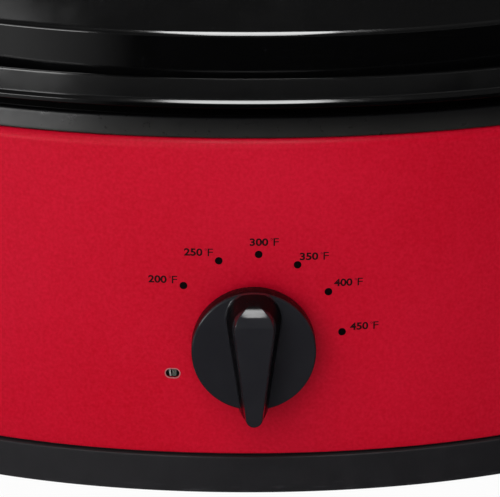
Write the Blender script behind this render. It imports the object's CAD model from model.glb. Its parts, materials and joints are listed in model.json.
import json
import math

import bmesh
import bpy
from mathutils import Matrix, Vector


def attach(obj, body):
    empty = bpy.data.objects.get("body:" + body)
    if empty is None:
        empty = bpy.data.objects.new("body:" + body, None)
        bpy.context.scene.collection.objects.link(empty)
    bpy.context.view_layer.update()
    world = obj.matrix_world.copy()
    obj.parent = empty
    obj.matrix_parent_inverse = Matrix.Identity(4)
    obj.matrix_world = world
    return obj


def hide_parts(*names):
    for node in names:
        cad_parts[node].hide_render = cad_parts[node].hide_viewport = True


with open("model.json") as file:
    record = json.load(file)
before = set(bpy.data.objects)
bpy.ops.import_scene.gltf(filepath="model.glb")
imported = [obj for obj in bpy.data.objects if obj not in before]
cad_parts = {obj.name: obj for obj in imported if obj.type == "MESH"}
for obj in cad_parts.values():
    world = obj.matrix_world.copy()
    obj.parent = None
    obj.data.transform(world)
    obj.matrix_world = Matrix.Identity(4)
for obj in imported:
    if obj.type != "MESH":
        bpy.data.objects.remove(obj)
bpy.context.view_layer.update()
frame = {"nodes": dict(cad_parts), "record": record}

MM = 0.001

# ---- the roaster's driving sizes, millimetres; the R of an oval is half its short axis ----
STRETCH = 1.368             # long axis over short axis of the casing, rim and pan
LID_STRETCH = 1.307         # the lid is a little rounder in plan

BASE_FOOT_R = 137.35
BASE_TOP_R = 136.1
BASE_TOP_Z = 13.0
BASE_RIM_R = 134.4          # inside of the rim that stands on the table
BASE_FLOOR_Z = 4.0
BASE_FLOOR_TOP_Z = 6.5
BASE_LEDGE_R = 133.0
BASE_LEDGE_Z = 11.1         # underside of the ledge that the shell stands on

SHELL_R = 134.5             # half depth of the painted shell
SHELL_WALL = 0.8
SHELL_INSIDE_R = 133.7
SHELL_FOOT_Z = 13.6
SHELL_TOP_Z = 128.5
SHELL_TOP_ROUND = 3.5
FOOT_FLANGE_R = 124.5
TOP_FLANGE_R = 121.5

COLLAR_FOOT_R = 133.3
COLLAR_TOP_R = 132.2
COLLAR_TOP_Z = 135.6
COLLAR_SEAT_R = 130.4
COLLAR_SEAT_Z = 141.7
COLLAR_INNER_R = 119.5
COLLAR_WALL = 3

LINER_R = 116.1
LINER_WALL = 0.6
LINER_FLOOR_Z = 20.0
LINER_FLOOR_ROUND = 14
LINER_FLANGE_R = 130.0
TIE_HOLE_R = 2.6

PAN_TOP_R = 112.4
PAN_FLOOR_R = 110.4
PAN_FLOOR_Z = 31.0
PAN_FLOOR_ROUND = 19
PAN_WALL = 1.2
PAN_LEDGE_Z = 144.0
PAN_LEDGE_THICK = 1.4
PAN_HOOK_R = 131.0          # where the rim turns down outside the liner's flange
PAN_LIP_R = 136.5
PAN_LIP_Z = 139.8
PAN_LIP_TOP_Z = 141.5
PAN_RIM_FOOT_R = 135.2
PAN_RIM_FOOT_Z = 142.3
PAN_RIM_TOP_R = 134.4
PAN_RIM_TOP_Z = 149.6
PAN_RIM_THICK = 2

LID_R = 128.5
LID_WALL = 1.1
LID_FOOT_Z = 144.3
LID_SKIRT_TOP_Z = 163.2
LID_COVE_R = 127.0
LID_COVE_Z = 163.9
LID_SHOULDER_R = 121.6
LID_SHOULDER_Z = 175.0
LID_CROWN_Z = 187.0
SHOULDER_DROP = 0.6         # share of the wall by which the inside is lower at the shoulder
COVE_DROP = 0.8             # the same at the cove and the top of the skirt

# ---- holes, vents and pads, millimetres ----
SCREW_HOLE_R = 2.0
BASE_SCREW_R = 129.0
BASE_SCREW_TURNS = (50, 130, 230, 310)      # degrees about the oval
SIDE_SCREW_Y = 26.0
SIDE_SCREW_Z = 105.0
CORD_HOLE_R = 7.1
CORD_Z = 27.0
PAD_RING_R = 116.0
PAD_TURNS = (38, 142, 218, 322)
PAD_BOSS_R = 10
PAD_SOCKET_R = 8
VENT_SIZE = (40, 6)
VENT_PITCH = 26.0
VENT_ROW_Y = 52.0
VENTS_EACH_SIDE = 3         # in each row, on either side of its middle one

# how far each boss, socket and cutter reaches along its own axis
PAD_BOSS_Z = (0.05, BASE_FLOOR_TOP_Z - 1)
PAD_SOCKET_Z = (-1, 3)
FLOOR_CUT_Z = (0, 20)
FLANGE_CUT_Z = (SHELL_FOOT_Z - 4, SHELL_FOOT_Z + 6)
FRONT_CUT_Y = (-SHELL_R - 5, -SHELL_R + 15)
BACK_CUT_Y = (SHELL_R - 10, SHELL_R + 10)
SIDE_CUT_X = (170, 190)

# ---- dial, millimetres ----
DIAL_Z = 56.7
DIAL_HOLE_R = 4.9
DIAL_SCREW_X = 14           # the thermostat's screws, on either side of its shaft
MARK_RING_R = 30.8          # circle about the dial's shaft that the marks sit on
MARK_R = 1.35
SETTINGS = {                # turn of each mark from straight up; left edge and foot of its number
    "200": (-51.6, (-36.3, 76.5)),
    "250": (-22.8, (-23.9, 86.7)),
    "300": (3.3, (-1.3, 90.5)),
    "350": (29.5, (15.9, 85.1)),
    "400": (57.2, (27.8, 75.2)),
    "450": (86.7, (33.5, 58.9)),
}
OFF_TURN = 177.0            # the pointer rests over this one
FIGURE_CAP = 2.75           # height of the printed numbers
FIGURES_WIDTH = 6.4
FIGURES_WEIGHT = 0.034      # how much bolder than the plain font, in the font's own units
DEGREE_SIGN = chr(0xB0)
DEGREE_START = 7.15         # from the figures' left edge
DEGREE_WIDTH = 0.75
LETTER_START = 8.15
LETTER_WIDTH = 1.85
LETTER_WEIGHT = 0.004
INK_THICK = 0.03

# where the knob's satin comes in or goes out, from the plane of the shell's front, minus outwards
KNOB_ROLL = (-25.1, -24.1)
KNOB_DISC_FACE = (-15.1, -14.4)
KNOB_DISC_BACK = (-13.2, -12.8)

# ---- pilot lamp, millimetres ----
LAMP_X = -28.15
LAMP_Z = 43.4
LAMP_WINDOW = (4.8, 3.1)
LAMP_FRONT_Y = -131.5       # where the lamp's glass ends behind the window
RIM_WIDTH = 0.36
RIM_THICK = 0.13
RIM_INSET = 0.05            # how far its back lies inside the paint
RIM_CUT = 4                 # length of the cutter that opens it
ELECTRODES = (              # x from the lamp's middle, width, height, lean in degrees
    (-0.95, 0.5, 2.9, -8),
    (0.62, 1.3, 2.6, 0),
)
ELECTRODE_THICK = 0.12
ELECTRODE_ROUND = 0.03
ELECTRODE_DROP = 0.55       # their middle lies this far below the lamp's
ELECTRODE_DEPTH = 1.0       # behind the glass's front
LEAD_X = 0.8
LEAD_R = 0.2
LEAD_DEPTH = 8.5

# ---- edge roundings of the pieces that keep the CAD's form, millimetres ----
KNOB_EDGE = 0.25
HANDLE_EDGE = 0.4
SMALL_EDGE = 0.3

# ---- how finely the round shapes are cut ----
QUARTER_STEPS = 112
ARC_STEPS = 7
DOME_STEPS = 16
BAR_STEPS = 32
CORD_HOLE_STEPS = 48
PAD_STEPS = 56
MARK_STEPS = 40
LEAD_STEPS = 16
SLOT_STEPS = 40
FLOOR_STEPS = 96
CARD_STEPS = 64
EDGE_STEPS = 3
ELECTRODE_STEPS = 2
HOLD = 0.6                  # millimetres of flat by each rounding keep a long flat's shading true
LONG_FLAT = 3 * HOLD        # shorter flats do without
MERGE = 1e-6                # corners closer than this are one, metres
ON_AXIS = 1e-7              # and closer than this to the axis, on it
NUDGE = 1e-9                # sends a slot's middle corners to its right end, metres
CREASE = math.radians(35)
ROUNDED_FROM = math.radians(40)
FLAT_WITHIN = math.radians(0.5)

# ---- studio, metres ----
FLOOR_R = 8.0
WALL_HIGH = 1.2
FLOOR_GREY = (0.8, 0.8, 0.8)
FLOOR_GLOW = 0.96               # how much of what is seen of the floor is its own white
CARD_R = 4.5
CARD_Z = 0.0005
CARD_BLACK = (0.004, 0.004, 0.004)
CARD_FEATHER = (-138, -112)     # turn about Z at which the card's cover starts and is full, degrees
CARD_COVER = (0.3, 1.0)
CARD_NEAR = (0.30, 0.36)        # full cover this near the object, whatever the turn
ROOM_LIGHT = 0.115
SOFTBOXES = {                   # centre, target, width and height, radiance, what sees it
    "overhead": ((0, -0.15, 0.98), (0, -0.15, 0), (0.26, 1.2), 14.5, "gloss"),
    "left_panel": ((-0.54, -0.53, 0.22), (0, -0.1, 0.22), (0.38, 0.14), 9.5, "gloss"),
    "left_glow": ((-0.54, -0.53, 0.44), (0, -0.1, 0.30), (0.38, 0.28), 1.6, "gloss"),
    "key": ((-0.34, -1.00, 0.80), (0, -0.12, 0.08), (1.1, 0.9), 3.2, "matte"),
    "front_fill": ((-0.25, -1.4, 0.25), (0, -0.1, 0.05), (1.0, 0.35), 4.2, "matte"),
    "back_fill": ((0.5, 1.3, 0.7), (0, 0.12, 0.08), (1.0, 0.8), 2.6, "matte"),
}
CAMERA_PLACE = Vector((-0.0088, -1.0836, 0.4044))
CAMERA_TARGET = Vector((-0.0012, -0.1345, 0.0896))
CAMERA_LENS = 209.95            # millimetres, as the sensor is
CAMERA_SENSOR = 36

# ---- colours, linear; a pair is the dark tone, then the light one ----
RED_FINE = ((0.395, 0.0010, 0.009), (0.560, 0.0070, 0.030))
RED_WORN = ((0.450, 0.0018, 0.014), (0.515, 0.0052, 0.025))
ENAMEL_TONES = ((0.0012, 0.0012, 0.0013), (0.006, 0.006, 0.0065))
COLLAR_DUST = ((0.0120, 0.0120, 0.0112), (0.0150, 0.0147, 0.0137))
COLLAR_CLEAN = (0.0020, 0.0020, 0.0023)
COLLAR_DARK = (0.0004, 0.0004, 0.0004)
COLLAR_DARK_Z = (COLLAR_TOP_Z - 0.2, COLLAR_TOP_Z + 0.3)    # it darkens over these heights
SCUFF_GAIN = 4                  # how much lighter a scuff is than the light tone
PHENOLIC_TONES = ((0.0140, 0.0140, 0.0170), (0.0165, 0.0165, 0.0195))
PHENOLIC_SATIN = (0.0035, 0.0030, 0.0035)
GLASS_TINT = ((0.10, 0.10, 0.09), (0.16, 0.16, 0.15))

# ---- what the frame says of each node ----
BODY_OF = {node: body
           for body, nodes in frame["record"]["behaviour"]["bodies"].items() for node in nodes}
SLOT_OF = {part["node"]: part["material_slot"] for part in frame["record"]["subparts"]}


# ---- finishes ----
def new_finish(name, metallic=0.0, specular=0.5):
    """An empty finish: its material, its node tree, its shader and the point on the object."""
    finish = bpy.data.materials.new(name)
    finish.use_nodes = True
    tree = finish.node_tree
    surface = tree.nodes["Principled BSDF"]
    surface.inputs["Metallic"].default_value = metallic
    surface.inputs["Specular IOR Level"].default_value = specular
    place = tree.nodes.new("ShaderNodeTexCoord").outputs["Object"]
    return finish, tree, surface, place


def feed(tree, socket, value):
    """Let another socket drive this one, or set it to a colour or a number."""
    if isinstance(value, bpy.types.NodeSocket):
        tree.links.new(value, socket)
    elif isinstance(value, tuple):
        socket.default_value = (*value, 1)
    else:
        socket.default_value = value


def cloud(tree, place, size, detail=2.0, stretch=(1, 1, 1)):
    """Noise whose blotches are about that many millimetres across."""
    spread = tree.nodes.new("ShaderNodeMapping")
    spread.inputs["Scale"].default_value = stretch
    tree.links.new(place, spread.inputs["Vector"])
    noise = tree.nodes.new("ShaderNodeTexNoise")
    noise.inputs["Scale"].default_value = 1 / (size * MM)
    noise.inputs["Detail"].default_value = detail
    tree.links.new(spread.outputs["Vector"], noise.inputs["Vector"])
    return noise.outputs["Fac"]


def between(tree, value, low, high, start=0.3, end=0.7):
    """A value that runs from start to end, as noise mostly does, made to run from low to high."""
    ramp = tree.nodes.new("ShaderNodeMapRange")
    ramp.inputs["From Min"].default_value = start
    ramp.inputs["From Max"].default_value = end
    ramp.inputs["To Min"].default_value = low
    ramp.inputs["To Max"].default_value = high
    tree.links.new(value, ramp.inputs["Value"])
    return ramp.outputs["Result"]


def fade(tree, share, low, high):
    """Low where the share is 0, high where it is 1."""
    return between(tree, share, low, high, 0, 1)


def patches(tree, place, size, detail=2.0, span=(0, 1), stretch=(1, 1, 1)):
    """Blotches about that many millimetres across, whose values run over the span."""
    return between(tree, cloud(tree, place, size, detail, stretch), *span)


def split(tree, place):
    """The X, Y and Z of a point."""
    parts = tree.nodes.new("ShaderNodeSeparateXYZ")
    tree.links.new(place, parts.inputs["Vector"])
    return parts.outputs


def height_of(tree, place, low, high):
    """0 below the first height, 1 above the second, in millimetres."""
    return between(tree, split(tree, place)["Z"], 0, 1, low * MM, high * MM)


def combine(tree, operation, first, second):
    """Two values put together by a math operation."""
    result = tree.nodes.new("ShaderNodeMath")
    result.operation = operation
    feed(tree, result.inputs[0], first)
    feed(tree, result.inputs[1], second)
    return result.outputs["Value"]


def blend_colours(tree, amount, first, second):
    """Colour that goes from first to second with amount; each may be a socket or fixed."""
    mix = tree.nodes.new("ShaderNodeMix")
    mix.data_type = "RGBA"
    feed(tree, mix.inputs["Factor"], amount)
    feed(tree, mix.inputs["A"], first)
    feed(tree, mix.inputs["B"], second)
    return mix.outputs["Result"]


def dress(tree, surface, colour, roughness, bumps=None, depth=0.0):
    """Give a finish its colour, its roughness and bumps of that depth in millimetres."""
    feed(tree, surface.inputs["Base Color"], colour)
    feed(tree, surface.inputs["Roughness"], roughness)
    if bumps is not None:
        bump = tree.nodes.new("ShaderNodeBump")
        bump.inputs["Distance"].default_value = depth * MM
        tree.links.new(bumps, bump.inputs["Height"])
        tree.links.new(bump.outputs["Normal"], surface.inputs["Normal"])


def red_paint(name):
    """Gloss paint with fine orange peel, a little mottled, and chalkier where cloths rub it."""
    finish, tree, surface, place = new_finish(name, specular=0.075)
    fine = blend_colours(tree, patches(tree, place, size=1.1, detail=3), *RED_FINE)
    worn = blend_colours(tree, patches(tree, place, size=70), *RED_WORN)
    dress(tree, surface,
          colour=blend_colours(tree, 0.5, fine, worn),
          roughness=patches(tree, place, size=6, detail=4, span=(0.34, 0.44)),
          bumps=cloud(tree, place, size=0.9), depth=0.012)
    return finish


def black_enamel(name):
    """Fired enamel: deep gloss with a slow wave and a few finer pits."""
    finish, tree, surface, place = new_finish(name, specular=0.46)
    specks = between(tree, cloud(tree, place, size=0.8, detail=3), 0, 1, start=0.62, end=0.75)
    dress(tree, surface,
          colour=blend_colours(tree, specks, *ENAMEL_TONES),
          roughness=patches(tree, place, size=12, detail=4, span=(0.09, 0.16)),
          bumps=cloud(tree, place, size=7, detail=3), depth=0.006)
    return finish


def collar_black(name):
    """Gloss plastic, dusty towards its foot and dull and dark in the gap above its step."""
    finish, tree, surface, place = new_finish(name)
    dust = blend_colours(tree, patches(tree, place, size=9, detail=4), *COLLAR_DUST)
    rise = height_of(tree, place, SHELL_TOP_Z, COLLAR_TOP_Z)
    clean = blend_colours(tree, rise, dust, COLLAR_CLEAN)
    gap = height_of(tree, place, *COLLAR_DARK_Z)
    feed(tree, surface.inputs["Specular IOR Level"], fade(tree, gap, low=0.3, high=0.02))
    dress(tree, surface,
          colour=blend_colours(tree, gap, clean, COLLAR_DARK),
          roughness=patches(tree, place, size=3, detail=5, span=(0.26, 0.36)),
          bumps=cloud(tree, place, size=0.45), depth=0.008)
    return finish


def moulded_black(name, tones, roughness, grain_depth, specular=0.4, edge=None):
    """Moulded plastic with a fine grain; edge is the height range over which scuffs fade out."""
    finish, tree, surface, place = new_finish(name, specular=specular)
    colour = blend_colours(tree, patches(tree, place, size=9, detail=4), *tones)
    if edge:
        streaks = cloud(tree, place, size=2.2, detail=6, stretch=(0.35, 0.35, 2.5))
        scuffs = between(tree, streaks, 0, 0.5, start=0.55, end=0.75)
        near_edge = fade(tree, height_of(tree, place, *edge), 1, 0)
        scuffed = tuple(SCUFF_GAIN * part for part in tones[1])
        colour = blend_colours(tree, combine(tree, "MULTIPLY", scuffs, near_edge), colour, scuffed)
    dress(tree, surface, colour,
          roughness=patches(tree, place, size=3, detail=5, span=roughness),
          bumps=cloud(tree, place, size=0.45), depth=grain_depth)
    return finish


def knob_black(name):
    """Phenolic with polished faces; the walls between them and behind them are left satin."""
    finish, tree, surface, place = new_finish(name)
    depth = split(tree, place)["Y"]
    changes = ((KNOB_ROLL, 0, 1), (KNOB_DISC_FACE, 1, 0), (KNOB_DISC_BACK, 0, 1))
    before_roll, past_disc, behind_disc = (
        between(tree, depth, first, last, (start - SHELL_R) * MM, (end - SHELL_R) * MM)
        for (start, end), first, last in changes)
    bar_wall = combine(tree, "MULTIPLY", before_roll, past_disc)
    satin = combine(tree, "MAXIMUM", bar_wall, behind_disc)
    faces = blend_colours(tree, patches(tree, place, size=9, detail=4), *PHENOLIC_TONES)
    polish = patches(tree, place, size=3, detail=5, span=(0.11, 0.17))
    feed(tree, surface.inputs["Specular IOR Level"], fade(tree, satin, low=0.27, high=0.03))
    dress(tree, surface,
          colour=blend_colours(tree, satin, faces, PHENOLIC_SATIN),
          roughness=combine(tree, "MULTIPLY", polish, fade(tree, satin, low=1, high=2.2)),
          bumps=cloud(tree, place, size=0.45), depth=0.003)
    return finish


def metal(name, tones, roughness, streaks=(1, 1, 1), grain=0.5, depth=0.004, metallic=1.0):
    """Metal with a tone that drifts, and streaks or grain in its gloss."""
    finish, tree, surface, place = new_finish(name, metallic=metallic)
    dress(tree, surface,
          colour=blend_colours(tree, patches(tree, place, size=14, detail=4), *tones),
          roughness=patches(tree, place, grain, detail=3, span=roughness, stretch=streaks),
          bumps=cloud(tree, place, grain, stretch=streaks), depth=depth)
    return finish


def mineral(name, tones, lump, depth, roughness=(0.7, 0.9), stretch=(1, 1, 1)):
    """Dull fired or fibrous stuff: two tones, matte, with lumps of that size."""
    finish, tree, surface, place = new_finish(name, specular=0.3)
    lumps = cloud(tree, place, lump, detail=5, stretch=stretch)
    dress(tree, surface,
          colour=blend_colours(tree, between(tree, lumps, 0, 1), *tones),
          roughness=patches(tree, place, 3 * lump, detail=3, span=roughness),
          bumps=lumps, depth=depth)
    return finish


def lamp_glass(name):
    """Thin clear envelope with a trace of unevenness; light passes straight through it."""
    finish, tree, surface, place = new_finish(name)
    surface.inputs["Alpha"].default_value = 0.05
    dress(tree, surface,
          colour=blend_colours(tree, patches(tree, place, size=2), *GLASS_TINT),
          roughness=0.04,
          bumps=cloud(tree, place, size=1.5), depth=0.01)
    return finish


def print_ink(name, tones):
    """Printed black with a slightly uneven lay."""
    finish, tree, surface, place = new_finish(name, specular=0.08)
    dress(tree, surface,
          colour=blend_colours(tree, patches(tree, place, size=0.35, detail=3), *tones),
          roughness=patches(tree, place, size=0.8, span=(0.42, 0.55)))
    return finish


LOOKS = {                       # what makes the finish of each slot, and how
    "red_paint": (red_paint, {}),
    "black_enamel": (black_enamel, {}),
    "black_base": (moulded_black, dict(
        tones=((0.0100, 0.0098, 0.0113), (0.0125, 0.0122, 0.0140)),
        roughness=(0.52, 0.64), grain_depth=0.03, specular=0.25, edge=(0.5, 4))),
    "black_phenolic": (moulded_black, dict(
        tones=PHENOLIC_TONES, roughness=(0.11, 0.17), grain_depth=0.003, specular=0.17)),
    "collar_black": (collar_black, {}),
    "foot_rubber": (moulded_black, dict(
        tones=((0.022, 0.022, 0.022), (0.030, 0.030, 0.030)),
        roughness=(0.75, 0.88), grain_depth=0.05, edge=(0, 1))),
    "bushing_plastic": (moulded_black, dict(
        tones=((0.012, 0.012, 0.013), (0.017, 0.017, 0.018)),
        roughness=(0.45, 0.55), grain_depth=0.02)),
    "zinc_steel": (metal, dict(
        tones=((0.50, 0.52, 0.55), (0.62, 0.63, 0.65)), roughness=(0.24, 0.38))),
    "liner_steel": (metal, dict(
        tones=((0.54, 0.55, 0.57), (0.66, 0.67, 0.68)),
        roughness=(0.34, 0.50), grain=1.8, depth=0.01)),
    "mica": (mineral, dict(
        tones=((0.30, 0.24, 0.14), (0.42, 0.34, 0.21)),
        lump=2.4, depth=0.02, roughness=(0.45, 0.65))),
    "ribbon_alloy": (metal, dict(
        tones=((0.33, 0.31, 0.30), (0.48, 0.46, 0.44)),
        roughness=(0.30, 0.42), streaks=(1, 1, 8))),
    "glass_fibre": (mineral, dict(
        tones=((0.62, 0.60, 0.52), (0.80, 0.78, 0.70)), lump=1.6, depth=0.35, stretch=(1, 1, 3))),
    "ceramic_body": (mineral, dict(
        tones=((0.62, 0.58, 0.49), (0.72, 0.68, 0.58)), lump=0.9, depth=0.03)),
    "brass_part": (metal, dict(
        tones=((0.48, 0.34, 0.13), (0.62, 0.45, 0.18)),
        roughness=(0.22, 0.36), streaks=(1, 8, 1))),
    "lamp_glass": (lamp_glass, {}),
    "electrode_nickel": (metal, dict(
        tones=((0.58, 0.56, 0.54), (0.74, 0.72, 0.70)), roughness=(0.18, 0.30))),
    "wire_sleeve": (mineral, dict(
        tones=((0.66, 0.64, 0.58), (0.82, 0.80, 0.74)), lump=0.5, depth=0.06)),
    "rack_chrome": (metal, dict(
        tones=((0.60, 0.61, 0.64), (0.72, 0.73, 0.75)),
        roughness=(0.08, 0.18), grain=2.0, depth=0.003)),
    "washer_fibre": (mineral, dict(
        tones=((0.06, 0.05, 0.045), (0.10, 0.08, 0.07)), lump=0.7, depth=0.05)),
}
FINISHES = {name: maker(name, **look) for name, (maker, look) in LOOKS.items()}

# finishes of single pieces, which look different from the rest of their slot
MARK_INK =print_ink("mark_ink", ((0.0025, 0.0008, 0.0010), (0.0050, 0.0014, 0.0018)))
NUMBER_INK = print_ink("number_ink", ((0.016, 0.0022, 0.0034), (0.028, 0.0036, 0.0052)))
HOLDER = moulded_black("holder_black", ((0.004, 0.004, 0.004), (0.006, 0.006, 0.006)),
                       roughness=(0.5, 0.65), grain_depth=0.02, specular=0.1)
STRIP = metal("bright_strip", ((0.66, 0.65, 0.62), (0.80, 0.79, 0.76)),
              roughness=(0.45, 0.6), metallic=0.1)
PLATE = metal("dull_plate", ((0.13, 0.15, 0.13), (0.19, 0.21, 0.18)),
              roughness=(0.45, 0.6), metallic=0.1)
RIM = metal("bare_rim", ((0.36, 0.11, 0.12), (0.46, 0.17, 0.18)),
            roughness=(0.40, 0.55), metallic=0.0)


# ---- shared makers ----
def rounded_outline(corners):
    """Points of a closed section in the XZ plane, from corners of radius, height and rounding."""
    points = []
    for index, (radius, height, rounding) in enumerate(corners):
        corner = Vector((radius, height))
        if not rounding:
            points.append(corner)
            continue
        back = Vector(corners[index - 1][:2]) - corner
        ahead = Vector(corners[(index + 1) % len(corners)][:2]) - corner
        half = back.angle(ahead) / 2
        reach = rounding / math.tan(half)
        inwards = (back.normalized() + ahead.normalized()).normalized()
        middle = corner + inwards * rounding / math.sin(half)
        first = (corner + back.normalized() * reach - middle).normalized()
        last = (corner + ahead.normalized() * reach - middle).normalized()
        if back.length > reach + LONG_FLAT:
            points.append(corner + back.normalized() * (reach + HOLD))
        for step in range(ARC_STEPS + 1):
            spoke = first.slerp(last, step / ARC_STEPS).normalized()
            points.append(middle + spoke * rounding)
        if ahead.length > reach + LONG_FLAT:
            points.append(corner + ahead.normalized() * (reach + HOLD))
    return points


def turned(points, stretch):
    """Closed section turned a quarter about Z, mirrored twice and stretched along X."""
    mesh = bmesh.new()
    ring = [mesh.verts.new((x * MM, 0, z * MM)) for x, z in points]
    for first, second in zip(ring, ring[1:] + ring[:1]):
        if max(first.co.x, second.co.x) > ON_AXIS:
            mesh.edges.new((first, second))
    bmesh.ops.spin(mesh, geom=mesh.verts[:] + mesh.edges[:], cent=(0, 0, 0), axis=(0, 0, 1),
                   angle=math.pi / 2, steps=QUARTER_STEPS)
    bmesh.ops.remove_doubles(mesh, verts=mesh.verts, dist=MERGE)
    for axis in ("X", "Y"):
        everything = mesh.verts[:] + mesh.edges[:] + mesh.faces[:]
        bmesh.ops.mirror(mesh, geom=everything, axis=axis, merge_dist=MERGE)
    bmesh.ops.remove_doubles(mesh, verts=mesh.verts, dist=MERGE)
    bmesh.ops.scale(mesh, vec=(stretch, 1, 1), verts=mesh.verts)
    bmesh.ops.recalc_face_normals(mesh, faces=mesh.faces)
    return mesh


def add_object(name, mesh):
    """Object in the scene from a bmesh, which is used up."""
    data = bpy.data.meshes.new(name)
    mesh.to_mesh(data)
    mesh.free()
    made = bpy.data.objects.new(name, data)
    bpy.context.scene.collection.objects.link(made)
    return made


def shade(made):
    """Smooth except at real edges."""
    made.data.shade_smooth()
    made.data.set_sharp_from_angle(angle=CREASE)


def piece(name, mesh, finish, body, replaced=None):
    """Piece from a bmesh, with its finish, riding on a body."""
    made = add_object(name, mesh)
    made.data.materials.append(finish)
    shade(made)
    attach(made, body)
    if replaced:
        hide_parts(replaced)
    return made


def stand_in(name, mesh, node):
    """Piece that takes the place, body and finish of one CAD node."""
    return piece(name, mesh, FINISHES[SLOT_OF[node]], BODY_OF[node], replaced=node)


def oval_piece(name, node, corners, stretch=STRETCH):
    """Oval piece with that section, in place of one CAD node."""
    return stand_in(name, turned(rounded_outline(corners), stretch), node)


def bake_modifiers(made):
    """Keep the shape that the piece's modifiers give it, and drop the modifiers."""
    shaped = made.evaluated_get(bpy.context.evaluated_depsgraph_get())
    data = bpy.data.meshes.new_from_object(shaped)
    made.modifiers.clear()
    made.data = data


def cut(made, cutter, operation="DIFFERENCE"):
    """Take the closed bmesh cutter out of the piece, or join it on."""
    tool = add_object("cutter", cutter)
    step = made.modifiers.new("cut", "BOOLEAN")
    step.operation = operation
    step.solver = "EXACT"
    step.object = tool
    bake_modifiers(made)
    bpy.data.objects.remove(tool)
    made.data.set_sharp_from_angle(angle=CREASE)


def raised_corners(extruded):
    """The corners among what an extrusion made."""
    return [part for part in extruded["geom"] if isinstance(part, bmesh.types.BMVert)]


def slot_prism(length, width, depth, place):
    """Closed prism with round ends, long along X, from z 0 to depth, then put in its place."""
    prism = bmesh.new()
    bmesh.ops.create_circle(prism, cap_ends=True, segments=SLOT_STEPS, radius=width / 2 * MM)
    for corner in prism.verts:
        corner.co.x += math.copysign((length - width) / 2 * MM, corner.co.x + NUDGE)
    top = bmesh.ops.extrude_face_region(prism, geom=prism.faces[:])
    bmesh.ops.translate(prism, vec=(0, 0, depth * MM), verts=raised_corners(top))
    bmesh.ops.recalc_face_normals(prism, faces=prism.faces)
    bmesh.ops.transform(prism, matrix=place, verts=prism.verts)
    return prism


def smooth_copy(node, name, edge=0.0):
    """Merged, smooth copy of a CAD node that stands in for it, with its edges rounded a little."""
    mesh = bmesh.new()
    mesh.from_mesh(frame["nodes"][node].data)
    bmesh.ops.remove_doubles(mesh, verts=mesh.verts, dist=MERGE)
    if edge:
        bmesh.ops.dissolve_limit(mesh, angle_limit=FLAT_WITHIN, verts=mesh.verts, edges=mesh.edges)
    made = stand_in(name, mesh, node)
    if edge:
        rounding = made.modifiers.new("edge", "BEVEL")
        rounding.width = edge * MM
        rounding.segments = EDGE_STEPS
        rounding.limit_method = "ANGLE"
        rounding.angle_limit = ROUNDED_FROM
        rounding.use_clamp_overlap = True
        bake_modifiers(made)
        shade(made)
    return made


def round_bar(bars, start, end, radius, segments=BAR_STEPS):
    """Add a closed round bar from start to end, in millimetres."""
    along = (Vector(end) - Vector(start)) * MM
    middle = Matrix.Translation((Vector(start) + Vector(end)) * MM / 2)
    place = middle @ along.to_track_quat("Z", "Y").to_matrix().to_4x4()
    bmesh.ops.create_cone(bars, cap_ends=True, segments=segments,
                          radius1=radius * MM, radius2=radius * MM,
                          depth=along.length, matrix=place)


def upright_bars(bars, ring_r, turns, span, radius, segments=BAR_STEPS):
    """Add a round bar over that span of heights at each turn about the oval of radius ring_r."""
    for degrees in turns:
        turn = math.radians(degrees)
        x, y = ring_r * STRETCH * math.cos(turn), ring_r * math.sin(turn)
        round_bar(bars, (x, y, span[0]), (x, y, span[1]), radius, segments)


def moved(x, y, z):
    """Matrix that moves by so many millimetres."""
    return Matrix.Translation(Vector((x, y, z)) * MM)


# ---- casing; each corner of a section is radius, height, rounding, in millimetres ----
def shell_holes():
    """Everything that is punched through the painted shell."""
    front, inside = FRONT_CUT_Y
    window = moved(LAMP_X, front, LAMP_Z) @ Matrix.Rotation(-math.pi / 2, 4, "X")
    holes = slot_prism(*LAMP_WINDOW, inside - front, window)
    round_bar(holes, (0, front, DIAL_Z), (0, inside, DIAL_Z), DIAL_HOLE_R)
    for x in (-DIAL_SCREW_X, DIAL_SCREW_X):
        round_bar(holes, (x, front, DIAL_Z), (x, inside, DIAL_Z), SCREW_HOLE_R)
    round_bar(holes, *((0, y, CORD_Z) for y in BACK_CUT_Y), CORD_HOLE_R, CORD_HOLE_STEPS)
    for side in (-1, 1):
        for y in (-SIDE_SCREW_Y, SIDE_SCREW_Y):
            round_bar(holes, *((side * x, y, SIDE_SCREW_Z) for x in SIDE_CUT_X), SCREW_HOLE_R)
    upright_bars(holes, BASE_SCREW_R, BASE_SCREW_TURNS, FLANGE_CUT_Z, SCREW_HOLE_R)
    return holes


def painted_shell():
    """Red steel band with a rolled shoulder, a flange at each end and its holes."""
    shell = oval_piece("painted_shell", "outer_shell", [
        (FOOT_FLANGE_R, SHELL_FOOT_Z, 0),
        (SHELL_R, SHELL_FOOT_Z, 0.6),
        (SHELL_R, SHELL_TOP_Z, SHELL_TOP_ROUND),
        (TOP_FLANGE_R, SHELL_TOP_Z, 0),
        (TOP_FLANGE_R, SHELL_TOP_Z - SHELL_WALL, 0),
        (SHELL_INSIDE_R, SHELL_TOP_Z - SHELL_WALL, SHELL_TOP_ROUND - SHELL_WALL),
        (SHELL_INSIDE_R, SHELL_FOOT_Z + SHELL_WALL, 0.4),
        (FOOT_FLANGE_R, SHELL_FOOT_Z + SHELL_WALL, 0),
    ])
    cut(shell, shell_holes())


def foot_bosses():
    """Round seats under the base for the rubber pads."""
    seats = bmesh.new()
    upright_bars(seats, PAD_RING_R, PAD_TURNS, PAD_BOSS_Z, PAD_BOSS_R, PAD_STEPS)
    return seats


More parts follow.
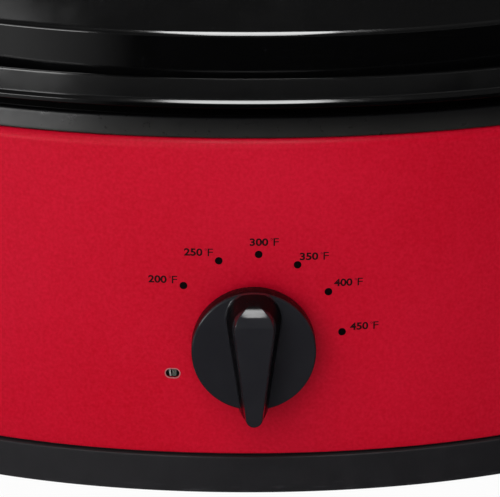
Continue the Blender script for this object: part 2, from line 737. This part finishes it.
def base_holes():
    """Vents, pad sockets and screw holes in the base's floor."""
    holes = bmesh.new()
    upright_bars(holes, PAD_RING_R, PAD_TURNS, PAD_SOCKET_Z, PAD_SOCKET_R, PAD_STEPS)
    upright_bars(holes, BASE_SCREW_R, BASE_SCREW_TURNS, FLOOR_CUT_Z, SCREW_HOLE_R)
    front_to_back = Matrix.Rotation(math.pi / 2, 4, "Z")
    under, over = FLOOR_CUT_Z
    for column in range(-VENTS_EACH_SIDE, VENTS_EACH_SIDE + 1):
        for row_y in (-VENT_ROW_Y, VENT_ROW_Y):
            place = moved(column * VENT_PITCH, row_y, under) @ front_to_back
            vent = slot_prism(*VENT_SIZE, over - under, place)
            data = bpy.data.meshes.new("vent")
            vent.to_mesh(data)
            vent.free()
            holes.from_mesh(data)
            bpy.data.meshes.remove(data)
    return holes


def moulded_base():
    """Black base pan: a flared foot, a ledge for the shell and a vented floor."""
    base = oval_piece("moulded_base", "base", [
        (TIE_HOLE_R, BASE_FLOOR_Z, 0),
        (BASE_RIM_R, BASE_FLOOR_Z, 0.8),
        (BASE_RIM_R, 0.0, 0.5),
        (BASE_FOOT_R, 0.0, 0.5),
        (BASE_TOP_R, BASE_TOP_Z, 0.5),
        (BASE_LEDGE_R, BASE_TOP_Z, 0.2),
        (BASE_LEDGE_R, SHELL_FOOT_Z, 0.2),
        (FOOT_FLANGE_R, SHELL_FOOT_Z, 0),
        (FOOT_FLANGE_R, BASE_LEDGE_Z, 0),
        (BASE_LEDGE_R, BASE_LEDGE_Z, 0.8),
        (BASE_LEDGE_R, BASE_FLOOR_TOP_Z, 0.8),
        (TIE_HOLE_R, BASE_FLOOR_TOP_Z, 0),
    ])
    cut(base, foot_bosses(), "UNION")
    cut(base, base_holes())


def rim_collar():
    """Black collar on the shell, with the seat that carries the liner and the pan."""
    oval_piece("rim_collar", "top_collar", [
        (COLLAR_FOOT_R, SHELL_TOP_Z, 0.4),
        (COLLAR_TOP_R, COLLAR_TOP_Z, 1.2),
        (COLLAR_SEAT_R, COLLAR_TOP_Z, 0.3),
        (COLLAR_SEAT_R, COLLAR_SEAT_Z, 0.4),
        (COLLAR_INNER_R, COLLAR_SEAT_Z, 0.3),
        (COLLAR_INNER_R, COLLAR_SEAT_Z - COLLAR_WALL, 0.3),
        (COLLAR_SEAT_R - COLLAR_WALL, COLLAR_SEAT_Z - COLLAR_WALL, 0.3),
        (COLLAR_SEAT_R - COLLAR_WALL, SHELL_TOP_Z, 0),
    ])


def heating_well():
    """Deep-drawn steel well that the pan hangs in."""
    oval_piece("heating_well", "liner", [
        (TIE_HOLE_R, LINER_FLOOR_Z, 0),
        (LINER_R, LINER_FLOOR_Z, LINER_FLOOR_ROUND),
        (LINER_R, COLLAR_SEAT_Z, 1.2),
        (LINER_FLANGE_R, COLLAR_SEAT_Z, 0),
        (LINER_FLANGE_R, COLLAR_SEAT_Z + LINER_WALL, 0),
        (LINER_R - LINER_WALL, COLLAR_SEAT_Z + LINER_WALL, 1.8),
        (LINER_R - LINER_WALL, LINER_FLOOR_Z + LINER_WALL, LINER_FLOOR_ROUND - LINER_WALL),
        (TIE_HOLE_R, LINER_FLOOR_Z + LINER_WALL, 0),
    ])


# ---- pan and lid ----
def enamel_pan():
    """Lift-out pan whose rolled rim hooks over the liner's flange."""
    oval_piece("enamel_pan", "cookwell", [
        (0, PAN_FLOOR_Z, 0),
        (PAN_FLOOR_R, PAN_FLOOR_Z, PAN_FLOOR_ROUND),
        (PAN_TOP_R, PAN_LEDGE_Z - PAN_LEDGE_THICK, 1.4),
        (PAN_HOOK_R, PAN_LEDGE_Z - PAN_LEDGE_THICK, 0.4),
        (PAN_HOOK_R, PAN_LIP_Z, 0.4),
        (PAN_LIP_R, PAN_LIP_Z, 0.4),
        (PAN_LIP_R, PAN_LIP_TOP_Z, 0.6),
        (PAN_RIM_FOOT_R, PAN_RIM_FOOT_Z, 0.3),
        (PAN_RIM_TOP_R, PAN_RIM_TOP_Z, 0.04),
        (PAN_RIM_TOP_R - PAN_RIM_THICK, PAN_RIM_TOP_Z, 0.6),
        (PAN_RIM_TOP_R - PAN_RIM_THICK, PAN_LEDGE_Z, 1.2),
        (PAN_TOP_R - PAN_WALL, PAN_LEDGE_Z, 2.4),
        (PAN_FLOOR_R - PAN_WALL, PAN_FLOOR_Z + PAN_WALL, PAN_FLOOR_ROUND - PAN_WALL),
        (0, PAN_FLOOR_Z + PAN_WALL, 0),
    ])


def lid_outline(inset):
    """Half section of the lid's form from its crown down to its foot; inset moves it inwards."""
    crown_z = LID_CROWN_Z - inset
    shoulder_r = LID_SHOULDER_R - inset
    shoulder_z = LID_SHOULDER_Z - SHOULDER_DROP * inset
    rise = crown_z - shoulder_z
    dome_r = (shoulder_r ** 2 + rise ** 2) / (2 * rise)
    corners = []
    for step in range(DOME_STEPS):
        reach = shoulder_r * step / DOME_STEPS
        corners.append((reach, crown_z - dome_r + math.sqrt(dome_r ** 2 - reach ** 2), 0))
    return corners + [
        (shoulder_r, shoulder_z, 2),
        (LID_COVE_R - inset, LID_COVE_Z - COVE_DROP * inset, 0.4),
        (LID_R - inset, LID_SKIRT_TOP_Z - COVE_DROP * inset, 1.2),
        (LID_R - inset, LID_FOOT_Z, 0.4),
    ]


def enamel_lid():
    """Lid with a straight skirt, a cove above it and a low dome."""
    section = lid_outline(0) + lid_outline(LID_WALL)[::-1]
    oval_piece("enamel_lid", "lid", section, LID_STRETCH)


# ---- dial, numbers and lamp ----
def shell_depth(x):
    """Half depth of the painted shell at x, in metres."""
    return SHELL_R * MM * math.sqrt(1 - (x / (SHELL_R * STRETCH * MM)) ** 2)


def print_on_shell(name, mesh, ink):
    """Thin ink, drawn flat around y 0, laid onto the curved front."""
    for corner in mesh.verts:
        corner.co.y -= shell_depth(corner.co.x)
    piece(name, mesh, ink, "casing")


def dial_marks():
    """Round marks about the dial's shaft, one for each printed setting and one for off."""
    marks = bmesh.new()
    for degrees in [mark_turn for mark_turn, _ in SETTINGS.values()] + [OFF_TURN]:
        turn = math.radians(degrees)
        x, z = MARK_RING_R * math.sin(turn), DIAL_Z + MARK_RING_R * math.cos(turn)
        round_bar(marks, (x, INK_THICK, z), (x, -INK_THICK, z), MARK_R, MARK_STEPS)
    print_on_shell("dial_marks", marks, MARK_INK)


def lettering(words, cap, width, weight):
    """Flat words as a mesh in the XZ plane from x 0, of that height and width in millimetres."""
    data = bpy.data.curves.new("words", "FONT")
    data.body = words
    data.offset = weight
    data.extrude = INK_THICK * MM
    drawn = bpy.data.objects.new("words", data)
    bpy.context.scene.collection.objects.link(drawn)
    mesh = bmesh.new()
    mesh.from_mesh(drawn.to_mesh())
    bpy.data.objects.remove(drawn)
    across = [corner.co.x for corner in mesh.verts]
    upwards = [corner.co.y for corner in mesh.verts]
    left, right, foot, top = min(across), max(across), min(upwards), max(upwards)
    for corner in mesh.verts:
        x = (corner.co.x - left) / (right - left) * width * MM
        z = (corner.co.y - foot) / (top - foot) * cap * MM
        corner.co = (x, -corner.co.z, z)
    return mesh


def dial_numbers():
    """Temperature at each mark: bold figures, then a small degree sign and a lighter F."""
    for setting, (_, (left, foot)) in SETTINGS.items():
        figures = lettering(setting, FIGURE_CAP, FIGURES_WIDTH, FIGURES_WEIGHT)
        degree = lettering(DEGREE_SIGN, DEGREE_WIDTH, DEGREE_WIDTH, 0.0)
        letter = lettering("F", FIGURE_CAP, LETTER_WIDTH, LETTER_WEIGHT)
        for name, mesh, start, rise in (
                ("figures", figures, 0, 0),
                ("letter", letter, LETTER_START, 0),
                ("degree", degree, DEGREE_START, FIGURE_CAP - DEGREE_WIDTH)):
            shift = Vector((left + start, 0, foot + rise)) * MM
            bmesh.ops.translate(mesh, vec=shift, verts=mesh.verts)
            print_on_shell(f"dial_{name}_{setting}", mesh, NUMBER_INK)


def lamp_rim():
    """Bare edge round the lamp's window, proud of the paint by a hair."""
    long, high = LAMP_WINDOW
    place = moved(LAMP_X, RIM_INSET, LAMP_Z) @ Matrix.Rotation(math.pi / 2, 4, "X")
    ring = slot_prism(long + 2 * RIM_WIDTH, high + 2 * RIM_WIDTH, RIM_THICK, place)
    made = piece("lamp_rim", ring, RIM, "casing")
    cut(made, slot_prism(long, high, RIM_CUT, moved(0, RIM_CUT / 2, 0) @ place))
    for corner in made.data.vertices:
        corner.co.y -= shell_depth(corner.co.x)


def lamp_electrodes():
    """A bright leaning strip and a broad dull plate, each on its wire, inside the glass."""
    pair = bmesh.new()
    plate_y = LAMP_FRONT_Y + ELECTRODE_DEPTH
    for x, width, high, lean in ELECTRODES:
        place = (moved(LAMP_X + x, plate_y, LAMP_Z - ELECTRODE_DROP)
                 @ Matrix.Rotation(math.radians(lean), 4, "Y")
                 @ Matrix.Diagonal((width * MM, ELECTRODE_THICK * MM, high * MM, 1)))
        plate = bmesh.ops.create_cube(pair, size=1, matrix=place)
        rims = {edge for corner in plate["verts"] for edge in corner.link_edges}
        bmesh.ops.bevel(pair, geom=list(rims), offset=ELECTRODE_ROUND * MM,
                        segments=ELECTRODE_STEPS, profile=0.5, affect="EDGES", material=-1)
    for x in (LAMP_X - LEAD_X, LAMP_X + LEAD_X):
        back = LAMP_FRONT_Y + LEAD_DEPTH
        round_bar(pair, (x, plate_y, LAMP_Z), (x, back, LAMP_Z), LEAD_R, LEAD_STEPS)
    made = piece("lamp_electrode_plates", pair, STRIP, BODY_OF["lamp_electrodes"],
                 replaced="lamp_electrodes")
    made.data.materials.append(PLATE)
    for face in made.data.polygons:
        face.material_index = int(face.center.x > LAMP_X * MM)


# ---- put it together ----
painted_shell()
moulded_base()
rim_collar()
heating_well()
enamel_pan()
enamel_lid()
pointer = smooth_copy("knob", "pointer_knob", KNOB_EDGE)
pointer.data.materials[0] = knob_black("knob_black")
smooth_copy("side_handle_right", "grip_right", HANDLE_EDGE)
smooth_copy("side_handle_left", "grip_left", HANDLE_EDGE)
smooth_copy("lid_handle", "lid_grip", HANDLE_EDGE)
smooth_copy("lid_handle_washers", "lid_grip_washers")
smooth_copy("cooking_rack", "wire_rack")
smooth_copy("rack_loops", "rack_lifting_loops")
smooth_copy("cord_bushing", "strain_relief", SMALL_EDGE)
smooth_copy("pilot_lamp", "lamp_envelope")
lamp_rim()
lamp_electrodes()
smooth_copy("rubber_feet", "foot_pads", SMALL_EDGE)
dial_marks()
dial_numbers()

for node, carried in frame["nodes"].items():
    carried.data.materials.clear()
    carried.data.materials.append(HOLDER if node == "lamp_holder" else FINISHES[SLOT_OF[node]])


# ---- light, floor and camera ----
def facing(centre, target):
    """Rotation with which a lamp or camera at centre looks at target."""
    return (Vector(target) - Vector(centre)).to_track_quat("-Z", "Y").to_euler()


def softbox(name, centre, target, size, radiance, seen_by):
    """Rectangular lamp that only gloss or only matte surfaces see; radiance 1 shows as white."""
    data = bpy.data.lights.new(name, "AREA")
    data.shape = "RECTANGLE"
    data.size, data.size_y = size
    data.energy = radiance * math.pi * size[0] * size[1]
    lamp = bpy.data.objects.new(name, data)
    lamp.location = centre
    lamp.rotation_euler = facing(centre, target)
    lamp.visible_camera = False
    lamp.visible_glossy = seen_by == "gloss"
    lamp.visible_diffuse = seen_by == "matte"
    bpy.context.scene.collection.objects.link(lamp)


def seen_directly(tree):
    """1 for camera, glossy and transmission rays, 0 for the light that the floor gives off."""
    path = tree.nodes.new("ShaderNodeLightPath").outputs
    straight = combine(tree, "MAXIMUM", path["Is Camera Ray"], path["Is Glossy Ray"])
    return combine(tree, "MAXIMUM", straight, path["Is Transmission Ray"])


def floor_paper():
    """White paper that stays white where it is seen, whatever shadow falls on it."""
    paper = bpy.data.materials.new("floor_paper")
    paper.use_nodes = True
    tree = paper.node_tree
    tree.nodes.clear()
    matte = tree.nodes.new("ShaderNodeBsdfDiffuse")
    matte.inputs["Color"].default_value = (*FLOOR_GREY, 1)
    glow = tree.nodes.new("ShaderNodeEmission")
    mix = tree.nodes.new("ShaderNodeMixShader")
    feed(tree, mix.inputs["Fac"], combine(tree, "MULTIPLY", seen_directly(tree), FLOOR_GLOW))
    tree.links.new(matte.outputs["BSDF"], mix.inputs[1])
    tree.links.new(glow.outputs["Emission"], mix.inputs[2])
    out = tree.nodes.new("ShaderNodeOutputMaterial")
    tree.links.new(mix.outputs["Shader"], out.inputs["Surface"])
    return paper


def stage_piece(name, mesh, finish):
    """Part of the studio, made from a bmesh."""
    made = add_object(name, mesh)
    made.data.materials.append(finish)
    return made


def studio_floor():
    """Wide white floor, and a low wall about it that gloss doesn't see."""
    paper = floor_paper()
    flat = bmesh.new()
    bmesh.ops.create_circle(flat, cap_ends=True, segments=FLOOR_STEPS, radius=FLOOR_R)
    stage_piece("floor", flat, paper)
    upright = bmesh.new()
    bmesh.ops.create_circle(upright, segments=FLOOR_STEPS, radius=FLOOR_R)
    raised = bmesh.ops.extrude_edge_only(upright, edges=upright.edges[:])
    bmesh.ops.translate(upright, vec=(0, 0, WALL_HIGH), verts=raised_corners(raised))
    stage_piece("wall", upright, paper).visible_glossy = False


def card_felt():
    """Black felt that covers fully near the object, and elsewhere thins out to the left."""
    felt, tree, surface, place = new_finish("card_felt", specular=0.0)
    start, end = (math.radians(degrees) for degrees in CARD_FEATHER)
    parts = split(tree, place)
    turn = combine(tree, "ARCTAN2", parts["Y"], parts["X"])
    feathered = between(tree, turn, *CARD_COVER, start, end)
    reach = tree.nodes.new("ShaderNodeVectorMath")
    reach.operation = "LENGTH"
    tree.links.new(place, reach.inputs[0])
    near = between(tree, reach.outputs["Value"], 1, 0, *CARD_NEAR)
    feed(tree, surface.inputs["Alpha"], combine(tree, "MAXIMUM", feathered, near))
    dress(tree, surface, CARD_BLACK, roughness=1.0)
    return felt


def dark_card():
    """Black card laid on the floor in front, which only gloss sees."""
    mesh = bmesh.new()
    bmesh.ops.create_circle(mesh, cap_ends=True, segments=CARD_STEPS, radius=CARD_R)
    bmesh.ops.translate(mesh, vec=(0, 0, CARD_Z), verts=mesh.verts)
    card = stage_piece("dark_card", mesh, card_felt())
    card.visible_camera = False
    card.visible_diffuse = False
    card.visible_shadow = False
    card.visible_transmission = False


def studio_light():
    """The lamps, and an even light from all around."""
    for name, lamp in SOFTBOXES.items():
        softbox(name, *lamp)
    world = bpy.data.worlds.new("studio")
    world.use_nodes = True
    room = world.node_tree.nodes["Background"]
    room.inputs["Color"].default_value = (1, 1, 1, 1)
    room.inputs["Strength"].default_value = ROOM_LIGHT
    bpy.context.scene.world = world


def studio_camera():
    """Camera that looks down a little on the dial."""
    data = bpy.data.cameras.new("camera")
    data.lens = CAMERA_LENS
    data.sensor_width = CAMERA_SENSOR
    camera = bpy.data.objects.new("camera", data)
    camera.location = CAMERA_PLACE
    camera.rotation_euler = facing(CAMERA_PLACE, CAMERA_TARGET)
    bpy.context.scene.collection.objects.link(camera)
    bpy.context.scene.camera = camera


studio_floor()
dark_card()
studio_light()
studio_camera()
bpy.context.scene.view_settings.view_transform = "Standard"
